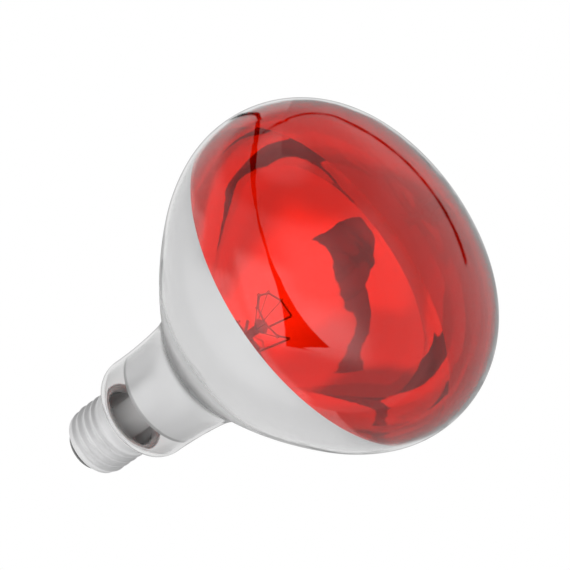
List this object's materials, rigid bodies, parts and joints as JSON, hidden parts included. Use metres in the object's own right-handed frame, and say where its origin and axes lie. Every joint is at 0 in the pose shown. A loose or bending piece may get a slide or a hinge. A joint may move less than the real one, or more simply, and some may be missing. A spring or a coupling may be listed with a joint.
{
  "type": "infrared heat lamp bulb",
  "caption": "Infrared reflector heat lamp bulb with a red domed face, a mirrored back, a clear neck band and a screw cap.",
  "frame": {"origin": "centre of the cap's end contact", "axes": "+Z along the lamp's axis from the cap to the red face; the side lead and its solder are on -X"},
  "size_m": [0.125, 0.125, 0.1695],
  "materials": {
    "bulb_glass": "polished",
    "mirror_coat": "polished",
    "red_coat": "clear",
    "shell_aluminium": "satin",
    "black_glass": "gloss",
    "contact_brass": "satin",
    "solder": "satin",
    "cement": "matt",
    "stem_glass": "clear",
    "lead_nickel": "satin",
    "tungsten": "matt"
  },
  "bodies": {
    "root": {"glass_envelope": "bulb_glass", "reflector_coat": "mirror_coat", "red_filter_coat": "red_coat", "screw_shell": "shell_aluminium", "cap_insulator": "black_glass", "contact_plate": "contact_brass", "contact_solder": "solder", "side_solder": "solder", "capping_cement": "cement", "glass_stem": "stem_glass", "exhaust_tube": "stem_glass", "support_rod": "stem_glass", "centre_lead": "lead_nickel", "side_lead": "lead_nickel", "filament": "tungsten", "filament_supports": "lead_nickel"}
  },
  "joints": []
}
